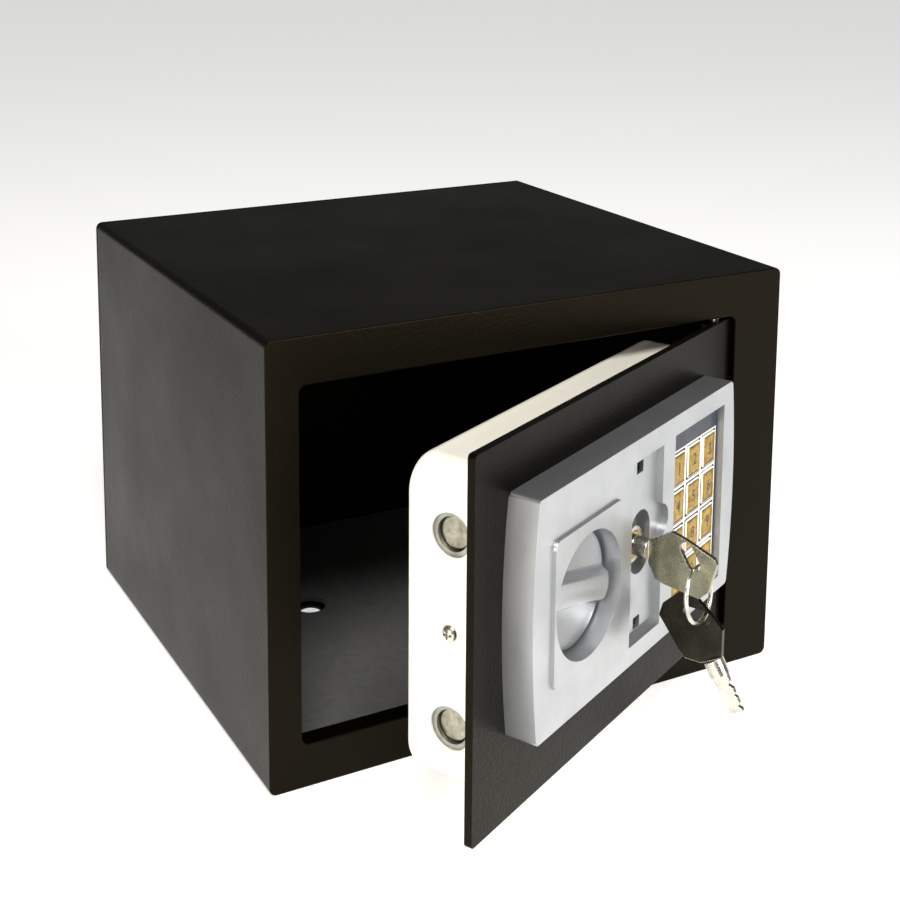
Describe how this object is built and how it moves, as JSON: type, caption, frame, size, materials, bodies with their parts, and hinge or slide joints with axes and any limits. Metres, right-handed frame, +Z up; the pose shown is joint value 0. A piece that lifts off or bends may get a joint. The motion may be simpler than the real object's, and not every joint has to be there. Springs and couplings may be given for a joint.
{
  "type": "home safe",
  "caption": "Small black steel home safe with its door ajar: silver keypad and knob panel, cream inner pan with two round locking bolts, and a key in the override lock.",
  "frame": {"origin": "middle of the cabinet's underside", "axes": "+Z up, +X to the right along the front, +Y towards the back; the door hinges on the right"},
  "size_m": [0.23, 0.2972, 0.172],
  "materials": {
    "black_powder_coat": "textured satin powder coat",
    "cream_paint": "satin enamel",
    "zinc_steel": "zinc plated",
    "nickel": "nickel plated",
    "spring_steel": "plain",
    "brass": "machined",
    "silver_abs": "silver lacquer on moulded ABS",
    "nylon": "moulded",
    "keypad_film": "printed film",
    "gold_keys": "gold lacquer",
    "circuit_board": "solder mask",
    "black_abs": "moulded",
    "coil_winding": "varnished wire",
    "battery_jacket": "printed jacket",
    "cream_abs": "moulded",
    "red_abs": "moulded",
    "grey_felt": "needle felt"
  },
  "bodies": {
    "cabinet": {"body_shell": "black_powder_coat", "frame_lip": "black_powder_coat", "back_panel": "black_powder_coat", "hinge_bushes": "zinc_steel", "floor_mat": "grey_felt"},
    "door": {"door_plate": "black_powder_coat", "door_pan": "cream_paint", "hinge_lugs": "black_powder_coat", "hinge_pins": "nickel", "bolt_guide": "zinc_steel", "pan_tab": "zinc_steel", "pan_screws": "nickel", "knob_bush": "nylon", "bezel": "silver_abs", "bezel_screws": "nickel", "keypad_plate": "keypad_film", "keypad_board": "circuit_board", "buzzer": "black_abs", "lock_body": "nickel", "lock_nut": "nickel", "solenoid_frame": "zinc_steel", "solenoid_coil": "coil_winding", "battery_box": "black_abs", "batteries": "battery_jacket", "reset_switch": "black_abs", "wire_grommet": "black_abs", "wire_loom": "black_abs"},
    "bolts": {"bolt_carriage": "zinc_steel", "locking_bolts": "nickel"},
    "knob": {"knob": "silver_abs", "knob_spindle": "nickel", "knob_crank": "zinc_steel", "crank_screw": "nickel"},
    "plunger": {"solenoid_plunger": "nickel", "plunger_spring": "spring_steel"},
    "plug": {"lock_plug": "brass", "lock_cam": "zinc_steel", "cam_screw": "nickel"},
    "door_key": {"door_key": "nickel"},
    "key_ring": {"key_ring": "nickel"},
    "spare_key": {"spare_key": "nickel"},
    "battery_cover": {"battery_cover": "cream_abs"},
    "reset_button": {"reset_button": "red_abs"},
    "keycap_1": {"keycap_1": "gold_keys"},
    "keycap_2": {"keycap_2": "gold_keys"},
    "keycap_3": {"keycap_3": "gold_keys"},
    "keycap_4": {"keycap_4": "gold_keys"},
    "keycap_5": {"keycap_5": "gold_keys"},
    "keycap_6": {"keycap_6": "gold_keys"},
    "keycap_7": {"keycap_7": "gold_keys"},
    "keycap_8": {"keycap_8": "gold_keys"},
    "keycap_9": {"keycap_9": "gold_keys"},
    "keycap_star": {"keycap_star": "gold_keys"},
    "keycap_0": {"keycap_0": "gold_keys"},
    "keycap_hash": {"keycap_hash": "gold_keys"}
  },
  "joints": [
    {"name": "door_hinge", "type": "hinge", "parent": "cabinet", "child": "door", "pos_m": [0.0855, -0.1, 0.0855], "axis": [0, 0, 1], "range_deg": [-27, 71]},
    {"name": "knob_turn", "type": "hinge", "parent": "door", "child": "knob", "pos_m": [-0.03207, -0.16552, 0.09], "axis": [0.454, -0.891, 0], "range_deg": [0, 90]},
    {"name": "bolt_slide", "type": "slide", "parent": "door", "child": "bolts", "axis": [-0.891, -0.454, 0], "range_m": [0, 0.018]},
    {"name": "plunger_slide", "type": "slide", "parent": "door", "child": "plunger", "axis": [0, 0, 1], "range_m": [0, 0.005], "deforming": ["plunger_spring"]},
    {"name": "plug_turn", "type": "hinge", "parent": "door", "child": "plug", "pos_m": [0.00713, -0.14554, 0.0903], "axis": [0.454, -0.891, 0], "range_deg": [-90, 0]},
    {"name": "key_pull", "type": "slide", "parent": "plug", "child": "door_key", "axis": [0.454, -0.891, 0], "range_m": [0, 0.028]},
    {"name": "ring_swing", "type": "hinge", "parent": "door_key", "child": "key_ring", "pos_m": [0.02132, -0.17338, 0.08923], "axis": [0.891, 0.454, 0], "range_deg": [-40, 15]},
    {"name": "spare_swing", "type": "hinge", "parent": "key_ring", "child": "spare_key", "pos_m": [0.02626, -0.17427, 0.06814], "axis": [0.891, 0.454, 0], "range_deg": [-25, 8]},
    {"name": "battery_cover_slide", "type": "slide", "parent": "door", "child": "battery_cover", "axis": [-0.454, 0.891, 0], "range_m": [0, 0.02]},
    {"name": "reset_press", "type": "slide", "parent": "door", "child": "reset_button", "axis": [0.454, -0.891, 0], "range_m": [0, 0.0015], "stiffness_N_per_m": 300},
    {"name": "keycap_1_press", "type": "slide", "parent": "door", "child": "keycap_1", "axis": [-0.454, 0.891, 0], "range_m": [0, 0.0008], "stiffness_N_per_m": 300},
    {"name": "keycap_2_press", "type": "slide", "parent": "door", "child": "keycap_2", "axis": [-0.454, 0.891, 0], "range_m": [0, 0.0008], "stiffness_N_per_m": 300},
    {"name": "keycap_3_press", "type": "slide", "parent": "door", "child": "keycap_3", "axis": [-0.454, 0.891, 0], "range_m": [0, 0.0008], "stiffness_N_per_m": 300},
    {"name": "keycap_4_press", "type": "slide", "parent": "door", "child": "keycap_4", "axis": [-0.454, 0.891, 0], "range_m": [0, 0.0008], "stiffness_N_per_m": 300},
    {"name": "keycap_5_press", "type": "slide", "parent": "door", "child": "keycap_5", "axis": [-0.454, 0.891, 0], "range_m": [0, 0.0008], "stiffness_N_per_m": 300},
    {"name": "keycap_6_press", "type": "slide", "parent": "door", "child": "keycap_6", "axis": [-0.454, 0.891, 0], "range_m": [0, 0.0008], "stiffness_N_per_m": 300},
    {"name": "keycap_7_press", "type": "slide", "parent": "door", "child": "keycap_7", "axis": [-0.454, 0.891, 0], "range_m": [0, 0.0008], "stiffness_N_per_m": 300},
    {"name": "keycap_8_press", "type": "slide", "parent": "door", "child": "keycap_8", "axis": [-0.454, 0.891, 0], "range_m": [0, 0.0008], "stiffness_N_per_m": 300},
    {"name": "keycap_9_press", "type": "slide", "parent": "door", "child": "keycap_9", "axis": [-0.454, 0.891, 0], "range_m": [0, 0.0008], "stiffness_N_per_m": 300},
    {"name": "keycap_star_press", "type": "slide", "parent": "door", "child": "keycap_star", "axis": [-0.454, 0.891, 0], "range_m": [0, 0.0008], "stiffness_N_per_m": 300},
    {"name": "keycap_0_press", "type": "slide", "parent": "door", "child": "keycap_0", "axis": [-0.454, 0.891, 0], "range_m": [0, 0.0008], "stiffness_N_per_m": 300},
    {"name": "keycap_hash_press", "type": "slide", "parent": "door", "child": "keycap_hash", "axis": [-0.454, 0.891, 0], "range_m": [0, 0.0008], "stiffness_N_per_m": 300}
  ],
  "couplings": [
    {"joint": "knob_turn", "follows": "bolt_slide", "rad_per_m": 87.266}
  ]
}
